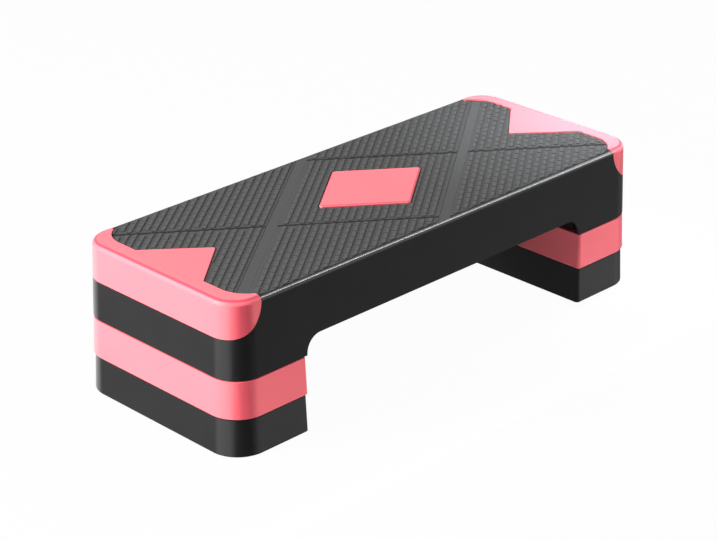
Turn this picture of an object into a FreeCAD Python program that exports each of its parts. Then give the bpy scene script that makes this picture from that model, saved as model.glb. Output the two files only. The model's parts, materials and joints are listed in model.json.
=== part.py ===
import FreeCAD, Part
import math
import os

# Aerobic step platform: a moulded deck on two pairs of stacking risers.
# Millimetres, +Z up, +X along the deck, origin on the floor under the deck's middle.
# The left half (-X) is modelled, and the right half is its mirror image.

# Overall sizes
deck_length = 728.0
deck_width = 284.0
deck_rise = 100.0
riser_rise = 50.0
corner_radius = 39.5
leg_length = 116.0
arch_rise = 25.5
arch_round = 22.0

# Deck moulding
deck_wall = 3.5
deck_plate = 4.5
deck_draft = 3.3
deck_round = 5.0
deck_rib_spacing = 62.0
deck_rib_setback = 3.0
rib_wall = 2.4
edge_round = 1.2
least_round = 2.0

# Riser moulding
joint_step = 0.3
riser_wall = 3.2
riser_plate = 3.2
riser_draft = 2.3
riser_inner_round = 3.0
riser_rib_spacing = 70.0

# Locator on top of each riser, nesting between the foot posts of the piece above
locator_height = 11.0
locator_draft = 1.0
locator_clearance = 1.0
rib_clearance = 2.5

# Foot posts and rubber plug feet
foot_proud = 1.2
foot_height = 3.0
foot_radius = 10.0
foot_bevel = 0.8
post_radius = 10.5
post_wall = 3.0
post_offset = 18.5
inner_post_inset = 27.0
stem_length = 9.0
stem_clearance = 0.2

# End caps
cap_reach = 47.5
cap_drop = 46.7
cap_corner = 45.0
cap_wall = 3.0
cap_round = 8.0
seam = 0.25
tongue_length = 73.0
tongue_half_width = 61.0
tongue_tip_round = 3.0

# Cap screws, each driven through a boss of the cap
screw_radius = 2.0
screw_head_radius = 5.4
screw_head_height = 2.6
screw_bite = 1.6
thread_clearance = 0.1
boss_radius = 3.8
boss_clearance = 0.3
boss_shortfall = 0.4
seat_margin = 1.8
seat_height = 2.0
end_screw_spread = 110.0
end_screw_drop = 24.0
tongue_screw_inset = 18.0

# Tread: pads, channels and badge, all seated in shallow pockets of the deck's top
inlay_recess = 1.2
inlay_proud = 1.8
pad_proud = 0.4
mat_end_margin = 27.0
mat_side_margin = 8.0
mat_corner = 42.0
channel_width = 13.0
cross_channel_width = 5.0
channel_crossing_share = 0.4725
channel_meet_margin = 13.0
badge_half_length = 92.0
badge_half_width = 70.0
badge_proud = 1.2
badge_round = 4.0
badge_bevel = 1.4
badge_gap = 0.6
peg_radius = 3.0
peg_clearance = 0.2
peg_place_share = 0.6
stud_pitch = 9.7
stud_width = 4.8
stud_length = 14.4
stud_gap = 2.0
stud_height = 1.2
stud_margin = 1.2
least_stud_share = 0.3

# Cuts run past the faces they open, and points nearer than this are the same
overrun = 5.0
same_place = 0.001

# Levels and lines that follow from the sizes
upper_base = riser_rise
deck_base = upper_base + riser_rise
deck_foot = deck_base + foot_proud
deck_top = deck_base + deck_rise
plate_under = deck_top - deck_plate
seat_level = deck_top - inlay_recess
inlay_top = deck_top + inlay_proud
pad_top = deck_top + pad_proud
arch_top = deck_base + arch_rise
arch_half = deck_length / 2 - leg_length
rib_under = arch_top + deck_rib_setback
shoulder_half_width = deck_width / 2 - joint_step
shoulder_end = deck_length / 2 - joint_step
shoulder_corner = corner_radius - joint_step
shoulder_inner = arch_half + riser_draft
post_bore = post_radius - post_wall
locator_inset = post_offset + post_radius + locator_clearance
locator_room = locator_height + rib_clearance
channel_crossing = deck_length / 2 * channel_crossing_share
channel_meet = deck_width / 2 - channel_meet_margin
pattern_angle = math.degrees(math.atan2(channel_meet, channel_crossing))
core_inset = cap_wall + seam
core_round = cap_round - cap_wall
across = FreeCAD.Vector(1, 0, 0)
along_y = FreeCAD.Vector(0, 1, 0)
upright = FreeCAD.Vector(0, 0, 1)
middle = FreeCAD.Vector(0, 0, 0)


# Drawing helpers

def plan(z):
    """Places drawing points on a level plane."""
    return lambda u, v: FreeCAD.Vector(u, v, z)


def profile(y):
    """Places drawing points on an upright plane that faces along Y."""
    return lambda u, v: FreeCAD.Vector(u, y, v)


def rounded_wire(corners, place):
    """Closed wire through (u, v, radius) corners, with an arc at each corner that has a radius."""
    tangents = []
    for index, (u, v, radius) in enumerate(corners):
        corner = FreeCAD.Vector(u, v, 0)
        before = FreeCAD.Vector(*corners[index - 1][:2], 0) - corner
        after = FreeCAD.Vector(*corners[(index + 1) % len(corners)][:2], 0) - corner
        half_turn = before.getAngle(after) / 2
        before.normalize()
        after.normalize()
        trim = radius / math.tan(half_turn)
        inward = (before + after).normalize()
        crown = corner + inward * (radius / math.sin(half_turn) - radius)
        tangents.append((corner + before * trim, crown, corner + after * trim))
    edges = []
    for index, (start, crown, end) in enumerate(tangents):
        last = tangents[index - 1][2]
        if last.distanceToPoint(start) > same_place:
            edges.append(Part.LineSegment(place(last.x, last.y), place(start.x, start.y)).toShape())
        if start.distanceToPoint(end) > same_place:
            points = [place(point.x, point.y) for point in (start, crown, end)]
            edges.append(Part.Arc(*points).toShape())
    return Part.Wire(edges)


def ring(low_x, high_x, half_width, low_round, high_round):
    """Corners of a rectangle that is symmetrical about the X axis."""
    return [
        (low_x, -half_width, low_round),
        (high_x, -half_width, high_round),
        (high_x, half_width, high_round),
        (low_x, half_width, low_round),
    ]


def column(wire, height):
    """Solid that stands on a level wire."""
    return Part.Face(wire).extrude(upright * height)


def through(corners):
    """Solid with an XZ profile that runs across the whole deck and past both sides."""
    half = deck_width / 2 + overrun
    return Part.Face(rounded_wire(corners, profile(-half))).extrude(along_y * (2 * half))


def tapered(low_wire, high_wire):
    return Part.makeLoft([low_wire, high_wire], True, True)


def edges_at(shape, z):
    """Edges that lie flat at height z."""
    level = []
    for edge in shape.Edges:
        heights = [vertex.Z for vertex in edge.Vertexes] + [edge.CenterOfMass.z]
        if max(abs(height - z) for height in heights) < same_place:
            level.append(edge)
    return level


def drawn_in(radius, draw):
    """Corner radius of an outline that is drawn in, never quite sharp."""
    return max(radius - draw, least_round)


def mirrored(shape):
    return shape.mirror(middle, across)


def slab(x, y, z, half_x, half_y, high_z):
    """Upright plate around (x, y) from z to high_z."""
    corner = FreeCAD.Vector(x - half_x, y - half_y, z)
    return Part.makeBox(2 * half_x, 2 * half_y, high_z - z, corner)


# Foot posts and feet, at the same places under the legs and under every riser

def post_places():
    outer_inset = post_offset + max(shoulder_corner - post_offset, 0) * (1 - math.sqrt(0.5))
    places = []
    for side in (-1, 1):
        places.append((outer_inset - shoulder_end, side * (shoulder_half_width - outer_inset)))
        places.append((-shoulder_inner - post_offset, side * (shoulder_half_width - inner_post_inset)))
    return places


def posts(base, roof):
    """Tubes over the feet, each with a web to the side wall."""
    shapes = []
    low = base + foot_height
    for x, y in post_places():
        shapes.append(Part.makeCylinder(post_radius, roof - low, FreeCAD.Vector(x, y, low)))
        reach = math.copysign(deck_width / 2, y)
        shapes.append(slab(x, (y + reach) / 2, low, rib_wall / 2, abs(reach - y) / 2, roof))
    return shapes


def bores(base, roof):
    low = base + foot_height
    return [
        Part.makeCylinder(post_bore, roof - low, FreeCAD.Vector(x, y, low))
        for x, y in post_places()
    ]


def feet(base):
    """Four rubber plug feet: a bevelled pad and a stem that fills the post's bore."""
    shapes = []
    for x, y in post_places():
        foot = Part.makeCylinder(foot_radius, foot_height, FreeCAD.Vector(x, y, base))
        foot = foot.makeChamfer(foot_bevel, edges_at(foot, base))
        stem_foot = FreeCAD.Vector(x, y, base + foot_height)
        stem = Part.makeCylinder(post_bore - stem_clearance, stem_length, stem_foot)
        shapes.append(foot.fuse(stem).removeSplitter())
    return Part.makeCompound(shapes)


# Risers

def riser_wire(inset, z):
    """Outline of a riser at height z over its own seat, drawn in by inset."""
    draw = inset - riser_draft * (1 - z / riser_rise)
    corners = ring(
        draw - shoulder_end,
        -shoulder_inner - draw,
        shoulder_half_width - draw,
        drawn_in(shoulder_corner, draw),
        drawn_in(riser_inner_round, draw),
    )
    return rounded_wire(corners, plan(z))


def locator_wire(inset, z):
    """Outline of the locator, which keeps the upright sides' draft out of its own."""
    draw = locator_inset + inset
    corners = ring(
        draw - shoulder_end,
        -shoulder_inner - draw,
        shoulder_half_width - draw,
        drawn_in(shoulder_corner, draw),
        drawn_in(riser_inner_round, draw),
    )
    return rounded_wire(corners, plan(z))


def riser_ribs(room, roof):
    """Rib lattice under the riser's roof, high enough to clear the locator below it."""
    x = -(shoulder_end + shoulder_inner) / 2
    half_x = (shoulder_end - shoulder_inner) / 2
    plates = [slab(x, 0, locator_room, rib_wall / 2, deck_width / 2, roof)]
    bays = max(2, round(2 * shoulder_half_width / riser_rib_spacing))
    step = 2 * shoulder_half_width / bays
    for index in range(1, bays):
        y = index * step - shoulder_half_width
        plates.append(slab(x, y, locator_room, half_x, rib_wall / 2, roof))
    return [plate.common(room) for plate in plates]


def riser():
    """Left riser on its own seat: drafted walls, shoulder, locator, ribs and foot posts."""
    top = riser_rise + locator_height
    under = riser_rise - riser_plate
    walls = tapered(riser_wire(0, foot_proud), riser_wire(0, riser_rise))
    walls = walls.makeFillet(edge_round, edges_at(walls, riser_rise) + edges_at(walls, foot_proud))
    locator = tapered(locator_wire(0, under), locator_wire(locator_draft, top))
    locator = locator.makeFillet(edge_round, edges_at(locator, top))
    hollow = tapered(riser_wire(riser_wall, -overrun), riser_wire(riser_wall, under))
    locator_hollow = tapered(
        locator_wire(riser_wall, under - overrun),
        locator_wire(riser_wall + locator_draft, top - riser_plate),
    )
    room = hollow.fuse(locator_hollow)
    roofed_posts = [post.common(walls) for post in posts(0, riser_rise - riser_plate / 2)]
    shell = walls.fuse(locator).cut(room)
    shell = shell.fuse(riser_ribs(room, top) + roofed_posts)
    return shell.cut(bores(0, under)).removeSplitter()


# Deck forms

def deck_wire(inset, z):
    """Outline of the deck at height z, drawn in by inset and by the draft of its sides."""
    draw = inset + deck_draft * (z - deck_foot) / (deck_top - deck_foot)
    x = deck_length / 2 - draw
    radius = drawn_in(corner_radius, draw)
    return rounded_wire(ring(-x, x, deck_width / 2 - draw, radius, radius), plan(z))


def deck_form(inset, low, top, top_round):
    """Solid with the deck's drafted sides and a rounded top edge."""
    form = tapered(deck_wire(inset, low), deck_wire(inset, top))
    if top_round > 0:
        form = form.makeFillet(top_round, edges_at(form, top))
    return form


def cap_zone(grow):
    """Region of the left end that its cap covers, seen from the side."""
    low_x = -deck_length / 2 - cap_corner
    high_x = cap_reach - deck_length / 2 + grow
    low_z = deck_top - cap_drop - grow
    high_z = deck_top + cap_corner
    return through([
        (low_x, low_z, 0),
        (high_x, low_z, cap_corner + grow),
        (high_x, high_z, 0),
        (low_x, high_z, 0),
    ])


# Tread layout in plan

def mat_wire(grow, z):
    """Border of the whole tread, grown outwards."""
    x = deck_length / 2 - mat_end_margin + grow
    y = deck_width / 2 - mat_side_margin + grow
    radius = drawn_in(mat_corner, -grow)
    return rounded_wire(ring(-x, x, y, radius, radius), plan(z))


def tongue_wire(grow, z):
    """Triangle of the left cap's tongue, from its tip back into the cap's rim."""
    half_tip = math.atan(tongue_half_width / tongue_length)
    rim = mat_end_margin / 2
    base_x = rim - deck_length / 2
    tip_x = mat_end_margin + tongue_length + grow / math.sin(half_tip) - deck_length / 2
    base_y = (tip_x - base_x) * math.tan(half_tip)
    corners = [(base_x, -base_y, 0), (tip_x, 0, tongue_tip_round), (base_x, base_y, 0)]
    return rounded_wire(corners, plan(z))


def badge_wire(grow, z):
    """Rhombus of the badge, grown outwards."""
    inner_radius = badge_half_length * badge_half_width / math.hypot(badge_half_length, badge_half_width)
    x = badge_half_length * (1 + grow / inner_radius)
    y = badge_half_width * (1 + grow / inner_radius)
    corners = [(x, 0, badge_round), (0, y, badge_round), (-x, 0, badge_round), (0, -y, badge_round)]
    return rounded_wire(corners, plan(z))


def channel_faces(grow):
    """Four diagonal channels, two along the studs and two narrower ones across them."""
    length = 2 * deck_length
    faces = []
    for x in (-channel_crossing, channel_crossing):
        for turn, width in ((pattern_angle, channel_width), (-pattern_angle, cross_channel_width)):
            grown = width + 2 * grow
            face = Part.makePlane(length, grown, FreeCAD.Vector(-length / 2, -grown / 2, 0))
            face.rotate(middle, upright, turn)
            face.translate(FreeCAD.Vector(x, 0, 0))
            faces.append(face)
    return faces


def tread_faces(draw):
    """Level faces of the seven pads, each drawn in on all sides."""
    left_tongue = Part.Face(tongue_wire(badge_gap + draw, 0))
    cutters = [left_tongue, mirrored(left_tongue), Part.Face(badge_wire(badge_gap + draw, 0))]
    return Part.Face(mat_wire(-draw, 0)).cut(cutters + channel_faces(draw)).Faces


def stud_faces():
    """Short bars in staggered rows along the pattern's slope, over the whole tread."""
    reach = math.hypot(deck_length, deck_width) / 2
    rows = math.ceil(reach / stud_pitch)
    step = stud_length + stud_gap
    count = math.ceil(reach / step)
    faces = []
    for row in range(-rows, rows + 1):
        stagger = step / 2 * (row % 2)
        for index in range(-count, count + 1):
            u = index * step + stagger - stud_length / 2
            v = row * stud_pitch - stud_width / 2
            faces.append(Part.makePlane(stud_length, stud_width, FreeCAD.Vector(u, v, 0)))
    field = Part.makeCompound(faces)
    field.rotate(middle, upright, pattern_angle)
    return field


def tread_pads():
    """Named pads: a flat slab with the studs that fall on it."""
    field = stud_faces()
    least_area = least_stud_share * stud_length * stud_width
    zones = tread_faces(seam + stud_margin)
    pads = {}
    for face in tread_faces(seam):
        centre = face.CenterOfMass
        zone = min(zones, key=lambda other: other.CenterOfMass.distanceToPoint(centre))
        studs = [stud for stud in field.common(zone).Faces if stud.Area > least_area]
        for stud in studs:
            stud.translate(upright * pad_top)
        bars = [stud.extrude(upright * stud_height) for stud in studs]
        face.translate(upright * seat_level)
        pad = face.extrude(upright * (pad_top - seat_level)).fuse(bars)
        pads[pad_name(centre)] = pad.removeSplitter()
    return pads


def pad_name(centre):
    """Name of a pad from where its middle lies."""
    words = []
    if abs(centre.y) > channel_width:
        words.append("front" if centre.y < 0 else "back")
    if abs(centre.x) > channel_width:
        words.append("left" if centre.x < 0 else "right")
    if len(words) == 1:
        words.append("end")
    return "tread_" + ("_".join(words) or "centre")


# Cap fixings: place of the screw seat and the way the screw points

def cap_fixings():
    end_z = deck_top - end_screw_drop
    lean = deck_draft * (end_z - deck_foot) / (deck_top - deck_foot)
    skin_x = lean + cap_wall - deck_length / 2
    wall_x = skin_x + seam + deck_wall
    fixings = []
    for side in (-1, 1):
        y = side * end_screw_spread / 2
        fixings.append((FreeCAD.Vector(wall_x, y, end_z), -across, wall_x - skin_x))
    tongue_x = mat_end_margin + tongue_screw_inset - deck_length / 2
    fixings.append((FreeCAD.Vector(tongue_x, 0, plate_under), upright, seat_level - plate_under))
    return fixings


def rod(radius, start, way, length):
    return Part.makeCylinder(radius, length, start, way)


def cap_screws():
    """Pan head screws that draw the left cap against the deck from inside."""
    shapes = []
    for wall, way, depth in cap_fixings():
        seat = wall - way * seat_height
        shank = rod(screw_radius, seat, way, seat_height + depth + screw_bite)
        head = rod(screw_head_radius, seat, -way, screw_head_height)
        rim = [edge for edge in head.Edges if edge.CenterOfMass.distanceToPoint(seat) > screw_head_height / 2]
        head = head.makeFillet(screw_head_height / 2, [edge for edge in rim if len(edge.Vertexes) == 1])
        shapes.append(head.fuse(shank).removeSplitter())
    return Part.makeCompound(shapes)


def cap():
    """Left end cap: a skin over the end, the rim and tongue on top, and hollow screw bosses."""
    low = deck_top - cap_drop - overrun
    skin = deck_form(0, low, inlay_top, cap_round).cut(deck_form(cap_wall, low, seat_level, core_round))
    shell = skin.common(cap_zone(0)).cut(column(mat_wire(seam, seat_level), deck_rise))
    shell = shell.fuse(column(tongue_wire(0, seat_level), inlay_top - seat_level))
    screw_holes = []
    for wall, way, depth in cap_fixings():
        start = wall - way * (seat_height - boss_shortfall)
        length = seat_height - boss_shortfall + depth
        shell = shell.fuse(rod(boss_radius, start, way, length + screw_bite))
        screw_holes.append(rod(screw_radius + thread_clearance, start, way, length + screw_bite))
    return shell.cut(screw_holes).removeSplitter()


# Badge

def badge_pegs(radius, depth):
    places = [(side * badge_half_length * peg_place_share, 0) for side in (-1, 1)]
    places += [(0, side * badge_half_width * peg_place_share) for side in (-1, 1)]
    return [
        Part.makeCylinder(radius, depth, FreeCAD.Vector(x, y, seat_level - depth)) for x, y in places
    ]


def badge():
    """Bare rhombus plate with a bevelled rim and four pegs."""
    top = inlay_top + badge_proud
    plate = column(badge_wire(0, seat_level), top - seat_level)
    plate = plate.makeChamfer(badge_bevel, edges_at(plate, top))
    return plate.fuse(badge_pegs(peg_radius, seat_level - plate_under)).removeSplitter()


# Deck shell

def deck_ribs(room):
    """Lattice under the top plate: cross ribs between and inside the legs, and long ribs."""
    half_y = deck_width / 2
    bays = max(2, round(2 * arch_half / deck_rib_spacing))
    step = 2 * (arch_half + rib_wall / 2) / bays
    places = [index * step - arch_half - rib_wall / 2 for index in range(bays + 1)]
    leg_middle = (deck_length / 2 + arch_half) / 2
    places += [-leg_middle, leg_middle]
    plates = [slab(x, 0, rib_under, rib_wall / 2, half_y, deck_top) for x in places]
    rows = 2 * max(1, round(half_y / deck_rib_spacing)) + 1
    for index in range(1, rows):
        y = index * deck_width / rows - half_y
        plates.append(slab(0, y, rib_under, deck_length / 2, rib_wall / 2, deck_top))
    return [plate.common(room) for plate in plates]


def deck_room():
    """Hollow inside the deck, with thicker set-in walls behind the caps."""
    low = deck_base - overrun
    room = deck_form(deck_wall, low, plate_under, 0)
    end_room = deck_form(core_inset + deck_wall, low, plate_under, 0)
    set_in = cap_zone(seam + deck_wall)
    return room.cut([set_in, mirrored(set_in)]).fuse(end_room)


def deck_shell():
    """Deck moulding: plate with pockets, skirts, two legs, ribs, posts and screw seats."""
    body = deck_form(0, deck_foot, deck_top, deck_round)
    body = body.makeFillet(edge_round, edges_at(body, deck_foot))
    arch_foot = deck_base - arch_round - overrun
    arch = through([
        (-arch_half, arch_foot, 0),
        (arch_half, arch_foot, 0),
        (arch_half, arch_top, arch_round),
        (-arch_half, arch_top, arch_round),
    ])
    room = deck_room()
    core = deck_form(core_inset, deck_base - overrun, seat_level, core_round)
    cap_seat = cap_zone(seam).cut([core, column(mat_wire(0, seat_level), deck_rise)])
    tongue_pocket = column(tongue_wire(seam, seat_level), inlay_recess + overrun)
    pockets = [column(badge_wire(seam, seat_level), inlay_recess + overrun)]
    for face in tread_faces(0):
        face.translate(upright * seat_level)
        pockets.append(face.extrude(upright * (inlay_recess + overrun)))
    shell = body.cut([arch, room, cap_seat, mirrored(cap_seat)])
    shell = shell.cut(pockets + [tongue_pocket, mirrored(tongue_pocket)])
    additions = posts(deck_base, plate_under)
    openings = bores(deck_base, plate_under) + badge_pegs(peg_radius + peg_clearance, deck_plate)
    for wall, way, depth in cap_fixings():
        root = wall - way * seat_height
        additions.append(rod(screw_head_radius + seat_margin, root, way, seat_height + deck_wall / 2))
        openings.append(rod(boss_radius + boss_clearance, root, way, seat_height + depth + seam))
    inside = [shape.common(body).cut(cap_seat) for shape in additions]
    shell = shell.fuse(deck_ribs(room) + inside + [mirrored(shape) for shape in inside])
    return shell.cut(openings + [mirrored(shape) for shape in openings]).removeSplitter()


# Assembly: one file for each node

def raised(shape, z):
    return shape.translated(upright * z)


def assembly():
    nodes = {"deck_shell": deck_shell(), "centre_badge": badge()}
    nodes.update(tread_pads())
    block = riser()
    left = {
        "end_cap": cap(),
        "end_cap_screws": cap_screws(),
        "leg_feet": feet(deck_base),
        "upper_riser": raised(block, upper_base),
        "upper_riser_feet": feet(upper_base),
        "lower_riser": block,
        "lower_riser_feet": feet(0),
    }
    for name, shape in left.items():
        nodes["left_" + name] = shape
        nodes["right_" + name] = mirrored(shape)
    return nodes


os.makedirs("parts", exist_ok=True)
for node, shape in assembly().items():
    print(node, len(shape.Solids), "solids", round(shape.Volume), "mm3", shape.isValid())
    shape.exportStep("parts/" + node + ".step")
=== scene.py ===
"""Looks of an aerobic step platform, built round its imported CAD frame."""
import json
import math

import bmesh
import bpy
from bpy.props import FloatProperty, FloatVectorProperty, IntProperty, PointerProperty
from mathutils import Matrix, Vector

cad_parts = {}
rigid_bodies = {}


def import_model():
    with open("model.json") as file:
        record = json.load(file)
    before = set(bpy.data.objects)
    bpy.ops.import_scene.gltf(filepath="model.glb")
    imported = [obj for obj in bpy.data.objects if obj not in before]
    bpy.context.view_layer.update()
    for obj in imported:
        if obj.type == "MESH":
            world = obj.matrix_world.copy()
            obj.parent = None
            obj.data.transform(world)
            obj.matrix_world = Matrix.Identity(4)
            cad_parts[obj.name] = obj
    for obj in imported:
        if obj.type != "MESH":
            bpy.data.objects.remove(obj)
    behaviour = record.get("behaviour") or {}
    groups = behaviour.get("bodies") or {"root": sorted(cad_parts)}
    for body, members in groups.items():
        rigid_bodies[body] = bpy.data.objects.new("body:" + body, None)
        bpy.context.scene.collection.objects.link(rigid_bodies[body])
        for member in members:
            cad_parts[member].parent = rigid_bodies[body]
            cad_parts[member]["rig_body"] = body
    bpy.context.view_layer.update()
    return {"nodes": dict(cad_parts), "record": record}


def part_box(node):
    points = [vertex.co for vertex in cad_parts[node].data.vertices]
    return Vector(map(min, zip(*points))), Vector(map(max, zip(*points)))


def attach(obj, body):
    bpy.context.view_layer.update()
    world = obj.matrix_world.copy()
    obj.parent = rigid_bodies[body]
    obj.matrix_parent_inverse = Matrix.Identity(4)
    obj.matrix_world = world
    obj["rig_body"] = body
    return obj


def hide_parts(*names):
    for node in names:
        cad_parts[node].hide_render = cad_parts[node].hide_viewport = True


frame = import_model()

bl_info = {
    "name": "Aerobic Step Platform",
    "version": (1, 0, 0),
    "blender": (4, 5, 0),
    "location": "3D View > Sidebar > Step Platform",
    "description": "Dresses a step platform's CAD parts with soft edges, tread and finishes",
    "category": "Object",
}

SIDES = ("left", "right")
PADS = [node for node in frame["nodes"] if node.startswith("tread_")]
X, Y, Z = 0, 1, 2

# Limits for the mesh pieces
SAME_POINT = 1e-6
FLAT_ANGLE = math.radians(0.4)
SHARP_ANGLE = math.radians(32)
CORE_INSET = 0.05
OUTWARD_COSINE = 0.5
MOULDING_STEPS = 3

# Heights that the finishes follow
DECK_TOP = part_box("deck_shell")[1].z
LOWER_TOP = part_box("left_lower_riser")[1].z
LOWER_FADE = 0.001
# Depth of the stud tops that are lighter: rubbed wear and painted light
STUD_RUBBED_AND_LIT_DEPTH = 0.0014

# Depths under the deck's top: where a band begins and ends, and its fade
SHINY_EDGE = (0.0009, 0.0045, 0.0004)
# The rubbed line is a painted highlight on the deck's top edge, broken up like rubbed wear
RUBBED_AND_LIT_LINE = (0.0004, 0.0014, 0.0003)
CHANNEL_FLOOR = (0.0002, 0.0004)

# The channels along the studs: slope, place on the middle line, half width, fade
CHANNEL_SLOPE = math.radians(36.87)
CHANNEL_CROSSING = 0.172
CHANNEL_HALF = 0.0066
CHANNEL_FADE = 0.0002

# Where the finish changes on a corner, by the X, Y or Z of the way that its surface faces, for its coat
# shine and its painted shade
SHINE_RISE_Y = (0.02, 0.24)
SHINE_FALL_Y = (0.5, 0.75)
PAINTED_SHADE_RISE_Y = (0.5, 0.9)
SIDE_TURN_X = (0.07, 0.34)
LEVEL_FACE_Z = (0.2, 0.4)
TOP_EDGE_Z = (0.76, 0.95, 0.04)
OUTWARD = (0, 0.01)

# Fixed colours
WHITE = (1, 1, 1, 1)
# Grey of the painted highlight on the deck's top edge, broken up like rubbed wear
RUBBED_AND_LIT_EDGE = (0.13, 0.131, 0.133, 1)
# Pink of the painted shade line on top edges and outer corners
PAINTED_SHADE_PINK = (0.6, 0.05, 0.085, 1)
FOOT_BLACK = (0.012, 0.012, 0.012, 1)
FOOT_DUST = (0.028, 0.028, 0.027, 1)
ZINC_DULL = (0.5, 0.5, 0.52, 1)
ZINC_BRIGHT = (0.66, 0.66, 0.67, 1)

# Sockets of the colour mix node, which share their names
MIX_AMOUNT, MIX_FIRST, MIX_SECOND = 0, 6, 7
MIXED_COLOUR = 2

# Floor, sky, camera and lamps
FLOOR_REACH = 30
FLOOR_GLOW = 0.97
SKY_STRENGTH = 0.235
SENSOR_WIDTH = 36
RIGHT_ANGLE = math.radians(90)
LAMPS = [
    {
        "name": "key", "place": (-2.85, 1.0, 1.5), "aim": (0, 0, 0.1), "size": (1.6, 1.6),
        "power": 250, "tint": (1, 0.985, 0.97),
    },
    {
        "name": "edge", "place": (1.95, -1.3, 2.0), "aim": (0, 0, 0.2), "size": (0.5, 2.2),
        "power": 52,
    },
    {
        "name": "low_front", "place": (0, -0.3, 0.02), "aim": (0, 0, 0.02), "size": (1.3, 0.04),
        "power": 0.25, "mirrored": False,
    },
    {
        "name": "far_end", "place": (0.45, -0.06, 1.1), "aim": (0.4, -0.05, 0.2), "size": (0.1, 0.1),
        "power": 1.15, "tint": (0.9, 0.96, 1), "spread": 40, "mirrored": False,
    },
]


# Settings that a user would change

def colour(name, description, default):
    return FloatVectorProperty(
        name=name, description=description, default=default, subtype="COLOR", min=0, max=1
    )


def length(name, description, default):
    return FloatProperty(
        name=name, description=description, default=default, unit="LENGTH", min=0, precision=5
    )


def angle(name, description, degrees):
    return FloatProperty(
        name=name, description=description, default=math.radians(degrees), subtype="ANGLE"
    )


class MouldingSettings(bpy.types.PropertyGroup):
    """Black and pink plastic mouldings."""
    black: colour("Black", "Colour of the deck and lower risers", (0.0145, 0.0145, 0.015))
    pink: colour("Pink", "Colour of the caps, badge and upper risers", (0.95, 0.167, 0.199))
    # The channel colour is painted light on the floors of the channels along the studs
    channel: colour("Channel", "Colour of the channels along the studs", (0.06, 0.0604, 0.061))
    edge_round: length("Edge round", "Rounding of the mouldings' cut edges", 0.0007)
    grain: length("Grain", "Size of the moulded grain on black plastic", 0.0009)


class TreadSettings(bpy.types.PropertyGroup):
    """Studded rubber pads."""
    rubber: colour("Rubber", "Colour of the tread pads", (0.0465, 0.0468, 0.0472))
    stud_round: length("Stud round", "Rounding along the studs' tops", 0.0009)
    segments: IntProperty(name="Segments", description="Steps in each rounding", default=2, min=1, max=4)


class StageSettings(bpy.types.PropertyGroup):
    """Floor and camera."""
    floor: colour("Floor", "Colour of the floor", (0.45, 0.45, 0.45))
    camera_place: FloatVectorProperty(
        name="Camera place", description="Where the camera stands", subtype="TRANSLATION",
        unit="LENGTH", default=(-1.871285, -1.863854, 1.314648),
    )
    yaw: angle("Yaw", "Heading of the camera from +X", 45.243)
    pitch: angle("Pitch", "Tilt of the camera from level", -24.969)
    roll: angle("Roll", "Turn of the camera about its line of sight", -0.075)
    lens: FloatProperty(
        name="Lens", description="Focal length of the camera", unit="CAMERA", default=112.97
    )


# Shader nodes

class Value:
    """A socket of a shader tree. Sums on it add Math nodes."""

    def __init__(self, finish, socket):
        self.finish = finish
        self.socket = socket

    def math(self, operation, *inputs):
        return self.finish.node("ShaderNodeMath", {"operation": operation}, dict(enumerate(inputs)))

    def __add__(self, other):
        return self.math("ADD", self, other)

    def __sub__(self, other):
        return self.math("SUBTRACT", self, other)

    def __rsub__(self, other):
        return self.math("SUBTRACT", other, self)

    def __mul__(self, other):
        return self.math("MULTIPLY", self, other)

    __radd__ = __add__
    __rmul__ = __mul__

    def size(self):
        """The value without its sign."""
        return self.math("ABSOLUTE", self)

    def larger(self, other):
        """The larger of two values."""
        return self.math("MAXIMUM", self, other)

    def between(self, low, high):
        """0 below low, 1 above high, and smooth between."""
        sockets = {"Value": self, "From Min": low, "From Max": high}
        return self.finish.node("ShaderNodeMapRange", {"interpolation_type": "SMOOTHSTEP"}, sockets)

    def band(self, low, high, fade):
        """1 from low to high, fading out beyond both."""
        return self.between(low - fade, low) * (1 - self.between(high, high + fade))


class Finish:
    """One material or world, and the nodes that make it."""

    def __init__(self, owner):
        owner.use_nodes = True
        self.owner = owner
        self.tree = owner.node_tree
        self.tree.nodes.clear()

    def node(self, kind, settings=None, sockets=None, output=0):
        """Adds a node: its type, its settings, then the values or links of its sockets."""
        made = self.tree.nodes.new(kind)
        for name, setting in (settings or {}).items():
            setattr(made, name, setting)
        for name, value in (sockets or {}).items():
            if isinstance(value, Value):
                self.tree.links.new(value.socket, made.inputs[name])
            else:
                made.inputs[name].default_value = value
        return Value(self, made.outputs[output]) if made.outputs else None

    def place(self):
        """Object coordinates."""
        return self.node("ShaderNodeTexCoord", output="Object")

    def facing(self):
        """The way that the surface faces."""
        return self.node("ShaderNodeTexCoord", output="Normal")

    def part(self, vector, axis):
        """The X, Y or Z of a vector."""
        return self.node("ShaderNodeSeparateXYZ", None, {"Vector": vector}, output=axis)

    def noise(self, place, size, detail=2.0, roughness=0.5):
        """Noise whose lumps are about that size."""
        sockets = {"Vector": place, "Scale": 1 / size, "Detail": detail, "Roughness": roughness}
        return self.node("ShaderNodeTexNoise", None, sockets)

    def mix(self, amount, first, second):
        """Colour between two colours."""
        sockets = {MIX_AMOUNT: amount, MIX_FIRST: first, MIX_SECOND: second}
        return self.node("ShaderNodeMix", {"data_type": "RGBA"}, sockets, output=MIXED_COLOUR)

    def bump(self, height, strength, distance, under=None):
        """A normal dented by a height, over the normal under it if there is one."""
        sockets = {"Height": height, "Strength": strength, "Distance": distance}
        if under is not None:
            sockets["Normal"] = under
        return self.node("ShaderNodeBump", None, sockets)

    def surface(self, sockets):
        """Closes the material with a principled shader."""
        shader = self.node("ShaderNodeBsdfPrincipled", None, sockets)
        self.node("ShaderNodeOutputMaterial", None, {"Surface": shader})
        return self.owner


def shade(base, factor=1):
    """A colour made lighter or darker, with its alpha."""
    return (*(min(1.0, channel * factor) for channel in base), 1.0)


def new_finish(name):
    return Finish(bpy.data.materials.new(name))


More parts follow.
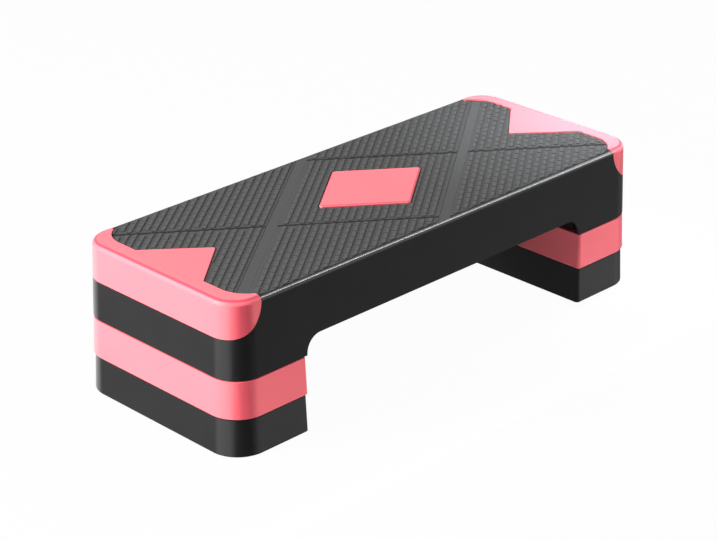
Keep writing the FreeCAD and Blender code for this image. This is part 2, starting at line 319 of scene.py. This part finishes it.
def outer_corners(finish, place):
    """Masks of the outer upright corners: their coat shine by the ends, and their painted shade line by
    the sides.
    """
    facing = finish.facing()
    along, across, rise = (finish.part(facing, axis) for axis in (X, Y, Z))
    outward = (along * finish.part(place, X)).between(*OUTWARD)
    corner = outward * (1 - rise.size().between(*LEVEL_FACE_Z))
    turned = across.size()
    shine = turned.between(*SHINE_RISE_Y) * (1 - turned.between(*SHINE_FALL_Y)) * corner
    # Painted shade on the outer corners, next to the long sides
    painted_corner_shade = turned.between(*PAINTED_SHADE_RISE_Y) * along.size().between(*SIDE_TURN_X) * corner
    return shine, painted_corner_shade


def long_sides(finish):
    """Mask of the upright faces along the platform."""
    facing = finish.facing()
    along, rise = (finish.part(facing, axis).size() for axis in (X, Z))
    return (1 - along.between(*SIDE_TURN_X)) * (1 - rise.between(*LEVEL_FACE_Z))


def lit_channel_mask(finish, place, depth):
    """Mask of the channels along the studs, on the deck's top, where painted light makes the floor grey.
    """
    along, across = (finish.part(place, axis) for axis in (X, Y))
    off_line = along * math.sin(CHANNEL_SLOPE) - across * math.cos(CHANNEL_SLOPE)
    line = CHANNEL_CROSSING * math.sin(CHANNEL_SLOPE)
    channels = [
        off_line.band(middle - CHANNEL_HALF, middle + CHANNEL_HALF, CHANNEL_FADE)
        for middle in (-line, line)
    ]
    return (channels[0] + channels[1]) * (1 - depth.between(*CHANNEL_FLOOR))


def moulded_black(settings):
    """Satin black plastic with a fine grain: a coat shine and a painted highlight on the deck's top edge,
    painted light on its channels along the studs, and painted shade on its outer corners.
    """
    finish = new_finish("moulded_black")
    place = finish.place()
    grain = finish.noise(place, size=settings.grain, detail=3)
    cloud = finish.noise(place, size=0.06, detail=4)
    waves = finish.noise(place, size=0.035, detail=1)
    scuff = finish.noise(place, size=0.008, detail=4, roughness=0.7)
    height = finish.part(place, Z)
    depth = DECK_TOP - height
    edge = depth.band(*SHINY_EDGE)
    # Painted highlight along the deck's top edge, broken up by scuffs like rubbed wear
    rubbed_and_lit = depth.band(*RUBBED_AND_LIT_LINE) * (0.5 + scuff * 0.8)
    low_sides = (1 - height.between(LOWER_TOP, LOWER_TOP + LOWER_FADE)) * long_sides(finish)
    shine, painted_corner_shade = outer_corners(finish, place)
    body = finish.mix(cloud, shade(settings.black, 0.8), shade(settings.black, 1.25))
    # Painted shade: the black darkens on the outer corners next to the long sides
    body = finish.mix(painted_corner_shade * 0.85, body, shade(settings.black, 0.2))
    # Painted light: the channels along the studs are a lighter grey
    body = finish.mix(lit_channel_mask(finish, place, depth), body, shade(settings.channel))
    sunk = finish.bump(waves, strength=0.15, distance=0.0004)
    return finish.surface({
        "Base Color": finish.mix(rubbed_and_lit, body, RUBBED_AND_LIT_EDGE),
        "Roughness": 0.4 + grain * 0.12 + cloud * 0.08,
        "Specular IOR Level": 0.08,
        "Coat Weight": edge * (0.7 + scuff * 0.4) + low_sides * 0.36 + shine,
        "Coat Roughness": 0.16,
        "Normal": finish.bump(grain, strength=0.2, distance=0.00012, under=sunk),
    })


def gloss_pink(settings):
    """Smooth pink plastic, half gloss, with painted shade in a deeper line where its top edges turn and
    on its outer corners.
    """
    finish = new_finish("gloss_pink")
    place = finish.place()
    cloud = finish.noise(place, size=0.05, detail=4)
    waves = finish.noise(place, size=0.04, detail=1)
    speck = finish.noise(place, size=0.0012, detail=3)
    top_edge = finish.part(finish.facing(), Z).band(*TOP_EDGE_Z)
    shine, painted_corner_shade = outer_corners(finish, place)
    # Painted shade: a deeper pink line on the rounded top edges and on the outer corners
    line = (top_edge * 0.85).larger(painted_corner_shade * 0.8)
    body = finish.mix(cloud, shade(settings.pink, 0.95), shade(settings.pink, 1.05))
    sunk = finish.bump(waves, strength=0.15, distance=0.0004)
    return finish.surface({
        "Base Color": finish.mix(line, body, PAINTED_SHADE_PINK),
        "Roughness": 0.38 + speck * 0.08 + cloud * 0.08,
        "Specular IOR Level": 0.28,
        "Coat Weight": shine,
        "Coat Roughness": 0.16,
        "Normal": finish.bump(speck, strength=0.1, distance=0.00006, under=sunk),
    })


def tread_rubber(settings):
    """Matt grey rubber, lighter on the tops of the studs, which is both rubbed wear and painted light
    against painted shade in the gaps.
    """
    finish = new_finish("tread_rubber")
    place = finish.place()
    grain = finish.noise(place, size=0.0007, detail=4)
    cloud = finish.noise(place, size=0.045, detail=4)
    height = finish.part(place, Z)
    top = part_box("tread_centre")[1].z
    # Stud tops lighter: rubbed wear, and painted light against painted shade in the gaps
    rubbed_and_lit = height.between(top - STUD_RUBBED_AND_LIT_DEPTH, top)
    dusty = finish.mix(cloud, shade(settings.rubber, 0.88), shade(settings.rubber, 1.12))
    return finish.surface({
        "Base Color": finish.mix(rubbed_and_lit * 0.5, dusty, shade(settings.rubber, 1.3)),
        "Roughness": 0.6 + grain * 0.2 - rubbed_and_lit * 0.1,
        "Specular IOR Level": 0.3,
        "Normal": finish.bump(grain, strength=0.35, distance=0.0001),
    })


def foot_rubber():
    """Dull black rubber of the plug feet."""
    finish = new_finish("foot_rubber")
    place = finish.place()
    grain = finish.noise(place, size=0.0006, detail=3)
    cloud = finish.noise(place, size=0.012, detail=3)
    return finish.surface({
        "Base Color": finish.mix(cloud, FOOT_BLACK, FOOT_DUST),
        "Roughness": 0.7 + grain * 0.2,
        "Normal": finish.bump(grain, strength=0.3, distance=0.0001),
    })


def screw_zinc():
    """Zinc plated steel with fine turning marks."""
    finish = new_finish("screw_zinc")
    place = finish.place()
    fine = finish.noise(place, size=0.0004, detail=2)
    cloud = finish.noise(place, size=0.004, detail=3)
    return finish.surface({
        "Base Color": finish.mix(cloud, ZINC_DULL, ZINC_BRIGHT),
        "Metallic": 1.0,
        "Roughness": 0.28 + fine * 0.16,
        "Normal": finish.bump(fine, strength=0.12, distance=0.00005),
    })


# Mesh pieces

def merged_copy(node):
    """The node's mesh as one closed shape with whole flat faces."""
    shape = bmesh.new()
    shape.from_mesh(frame["nodes"][node].data)
    bmesh.ops.remove_doubles(shape, verts=shape.verts, dist=SAME_POINT)
    bmesh.ops.dissolve_limit(
        shape, angle_limit=FLAT_ANGLE, verts=shape.verts, edges=shape.edges, use_dissolve_boundaries=False
    )
    return shape


def outer_skin(node):
    """A test for edges of the node's outer side, seen from the middle of its box."""
    low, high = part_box(node)

    def on_skin(edge):
        middle = (edge.verts[0].co + edge.verts[1].co) / 2
        away = Vector((0, 0, 0))
        for axis in (X, Y):
            inset = min(CORE_INSET, (high[axis] - low[axis]) / 2)
            away[axis] = middle[axis] - min(max(middle[axis], low[axis] + inset), high[axis] - inset)
        if away.length < SAME_POINT:
            return False
        return any(face.normal.dot(away.normalized()) > OUTWARD_COSINE for face in edge.link_faces)

    return on_skin


def soften(shape, width, segments, wanted=lambda edge: True):
    """Rounds the sharp outer edges."""
    sharp = [
        edge for edge in shape.edges
        if edge.is_convex and edge.calc_face_angle() > SHARP_ANGLE and wanted(edge)
    ]
    bmesh.ops.bevel(
        shape, geom=sharp, offset=width, offset_type="OFFSET", segments=segments, profile=0.5,
        affect="EDGES", material=-1, clamp_overlap=True,
    )


def place_piece(shape, name, node, material):
    """Hands a finished shape to the node's body, in the node's stead."""
    mesh = bpy.data.meshes.new(name)
    shape.to_mesh(mesh)
    shape.free()
    mesh.shade_smooth()
    mesh.set_sharp_from_angle(angle=SHARP_ANGLE)
    mesh.materials.append(material)
    piece = bpy.data.objects.new(name, mesh)
    bpy.context.scene.collection.objects.link(piece)
    evened = piece.modifiers.new("even_normals", "WEIGHTED_NORMAL")
    evened.keep_sharp = True
    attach(piece, frame["nodes"][node]["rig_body"])
    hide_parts(node)
    for part in frame["record"]["subparts"]:
        part["node"] == node


def moulding(node, name, material, settings):
    """Stands a softened copy in for a moulded node."""
    shape = merged_copy(node)
    soften(shape, settings.edge_round, MOULDING_STEPS, outer_skin(node))
    place_piece(shape, name, node, material)


def paint_node(node, material):
    """Gives a CAD node a finish."""
    mesh = frame["nodes"][node].data
    mesh.materials.clear()
    mesh.materials.append(material)


def finish_named(name, make, settings):
    """The finish of that name, made when it is first asked for."""
    return bpy.data.materials.get(name) or make(settings)


class STEP_OT_deck(bpy.types.Operator):
    """Black deck moulding with softened edges"""
    bl_idname = "step.deck"
    bl_label = "Deck"

    def execute(self, context):
        settings = context.scene.step_moulding
        black = finish_named("moulded_black", moulded_black, settings)
        moulding("deck_shell", "deck_moulding", black, settings)
        return {"FINISHED"}


class STEP_OT_end_caps(bpy.types.Operator):
    """Pink caps over the deck's ends"""
    bl_idname = "step.end_caps"
    bl_label = "End caps"

    def execute(self, context):
        settings = context.scene.step_moulding
        pink = finish_named("gloss_pink", gloss_pink, settings)
        for side in SIDES:
            moulding(side + "_end_cap", side + "_cap_moulding", pink, settings)
        return {"FINISHED"}


class STEP_OT_badge(bpy.types.Operator):
    """Bare rhombus in the middle of the tread"""
    bl_idname = "step.badge"
    bl_label = "Badge"

    def execute(self, context):
        settings = context.scene.step_moulding
        pink = finish_named("gloss_pink", gloss_pink, settings)
        shape = merged_copy("centre_badge")
        soften(shape, settings.edge_round, MOULDING_STEPS)
        place_piece(shape, "badge_plate", "centre_badge", pink)
        return {"FINISHED"}


class STEP_OT_risers(bpy.types.Operator):
    """Stacking risers, pink over black"""
    bl_idname = "step.risers"
    bl_label = "Risers"

    def execute(self, context):
        settings = context.scene.step_moulding
        pink = finish_named("gloss_pink", gloss_pink, settings)
        black = finish_named("moulded_black", moulded_black, settings)
        for side in SIDES:
            for level, material in (("upper", pink), ("lower", black)):
                node = side + "_" + level + "_riser"
                moulding(node, node + "_moulding", material, settings)
        return {"FINISHED"}


class STEP_OT_tread(bpy.types.Operator):
    """Studded tread pads with rounded studs"""
    bl_idname = "step.tread"
    bl_label = "Tread pads"

    def execute(self, context):
        settings = context.scene.step_tread
        rubber = tread_rubber(settings)
        for node in PADS:
            shape = merged_copy(node)
            soften(shape, settings.stud_round, settings.segments)
            place_piece(shape, node + "_pad", node, rubber)
        return {"FINISHED"}


class STEP_OT_feet_and_screws(bpy.types.Operator):
    """Finishes of the rubber feet and the cap screws"""
    bl_idname = "step.feet_and_screws"
    bl_label = "Feet and screws"

    def execute(self, context):
        rubber = foot_rubber()
        zinc = screw_zinc()
        for side in SIDES:
            for piece in ("leg", "upper_riser", "lower_riser"):
                paint_node(side + "_" + piece + "_feet", rubber)
            paint_node(side + "_end_cap_screws", zinc)
        return {"FINISHED"}


# Stage

def seen_directly(finish):
    """1 for rays that show the background itself."""
    camera, glossy, through = (
        finish.node("ShaderNodeLightPath", output=name)
        for name in ("Is Camera Ray", "Is Glossy Ray", "Is Transmission Ray")
    )
    return camera.larger(glossy.larger(through))


def floor_finish(settings):
    """Pale floor, shown near white but still taking the shadow."""
    finish = new_finish("pale_floor")
    matt = finish.node("ShaderNodeBsdfDiffuse", None, {"Color": (*settings.floor, 1)})
    glow = finish.node("ShaderNodeEmission", None, {"Color": WHITE, "Strength": 1.0})
    white_share = seen_directly(finish) * FLOOR_GLOW
    shown = finish.node("ShaderNodeMixShader", None, {0: white_share, 1: matt, 2: glow})
    finish.node("ShaderNodeOutputMaterial", None, {"Surface": shown})
    return finish.owner


def lay_floor(scene, settings):
    """A flat floor far wider than the view."""
    ground = bmesh.new()
    bmesh.ops.create_grid(ground, x_segments=1, y_segments=1, size=FLOOR_REACH)
    mesh = bpy.data.meshes.new("floor")
    ground.to_mesh(mesh)
    ground.free()
    mesh.materials.append(floor_finish(settings))
    floor = bpy.data.objects.new("floor", mesh)
    scene.collection.objects.link(floor)


def world_light(scene):
    """Even white sky, shown as plain white."""
    world = bpy.data.worlds.new("studio")
    scene.world = world
    finish = Finish(world)
    sky = finish.node("ShaderNodeBackground", None, {"Color": WHITE, "Strength": SKY_STRENGTH})
    white = finish.node("ShaderNodeBackground", None, {"Color": WHITE, "Strength": 1.0})
    shown = finish.node("ShaderNodeMixShader", None, {0: seen_directly(finish), 1: sky, 2: white})
    finish.node("ShaderNodeOutputWorld", None, {"Surface": shown})


def area_lamp(scene, name, place, aim, size, power, tint=(1, 1, 1), spread=180, mirrored=True):
    """Soft rectangular lamp that points at a spot, and may leave no mirror image."""
    lamp = bpy.data.lights.new(name, "AREA")
    lamp.shape = "RECTANGLE"
    lamp.size, lamp.size_y = size
    lamp.energy = power
    lamp.color = tint
    lamp.spread = math.radians(spread)
    holder = bpy.data.objects.new(name, lamp)
    scene.collection.objects.link(holder)
    way = Vector(aim) - Vector(place)
    holder.matrix_world = Matrix.Translation(place) @ way.to_track_quat("-Z", "Y").to_matrix().to_4x4()
    holder.visible_camera = False
    holder.visible_glossy = mirrored


def set_camera(scene, settings):
    """The camera at the photograph's viewing angle."""
    camera = bpy.data.cameras.new("camera")
    camera.sensor_width = SENSOR_WIDTH
    camera.lens = settings.lens
    holder = bpy.data.objects.new("camera", camera)
    scene.collection.objects.link(holder)
    heading = Matrix.Rotation(settings.yaw - RIGHT_ANGLE, 4, "Z")
    tilt = Matrix.Rotation(RIGHT_ANGLE + settings.pitch, 4, "X")
    turn = Matrix.Rotation(settings.roll, 4, "Z")
    holder.matrix_world = Matrix.Translation(settings.camera_place) @ heading @ tilt @ turn
    scene.camera = holder


class STEP_OT_stage(bpy.types.Operator):
    """Floor, soft lamps and the camera"""
    bl_idname = "step.stage"
    bl_label = "Stage"

    def execute(self, context):
        scene = context.scene
        settings = scene.step_stage
        lay_floor(scene, settings)
        world_light(scene)
        for lamp in LAMPS:
            area_lamp(scene, **lamp)
        set_camera(scene, settings)
        scene.view_settings.view_transform = "Standard"
        return {"FINISHED"}


class STEP_PT_platform(bpy.types.Panel):
    """Lists the pieces and their settings"""
    bl_idname = "STEP_PT_platform"
    bl_label = "Step Platform"
    bl_space_type = "VIEW_3D"
    bl_region_type = "UI"
    bl_category = "Step Platform"

    def draw(self, context):
        for operator in OPERATORS:
            self.layout.operator(operator.bl_idname)
        for settings in SETTINGS:
            group = getattr(context.scene, settings)
            for name in group.__annotations__:
                self.layout.prop(group, name)


SETTINGS = {
    "step_moulding": MouldingSettings,
    "step_tread": TreadSettings,
    "step_stage": StageSettings,
}
OPERATORS = [
    STEP_OT_deck,
    STEP_OT_end_caps,
    STEP_OT_badge,
    STEP_OT_risers,
    STEP_OT_tread,
    STEP_OT_feet_and_screws,
    STEP_OT_stage,
]


def register():
    for kind in [*SETTINGS.values(), *OPERATORS, STEP_PT_platform]:
        bpy.utils.register_class(kind)
    for name, kind in SETTINGS.items():
        setattr(bpy.types.Scene, name, PointerProperty(type=kind))


def unregister():
    for name in SETTINGS:
        delattr(bpy.types.Scene, name)
    for kind in reversed([*SETTINGS.values(), *OPERATORS, STEP_PT_platform]):
        bpy.utils.unregister_class(kind)


def main():
    register()
    bpy.ops.step.deck()
    bpy.ops.step.end_caps()
    bpy.ops.step.badge()
    bpy.ops.step.risers()
    bpy.ops.step.tread()
    bpy.ops.step.feet_and_screws()
    bpy.ops.step.stage()


if __name__ == "__main__":
    main()
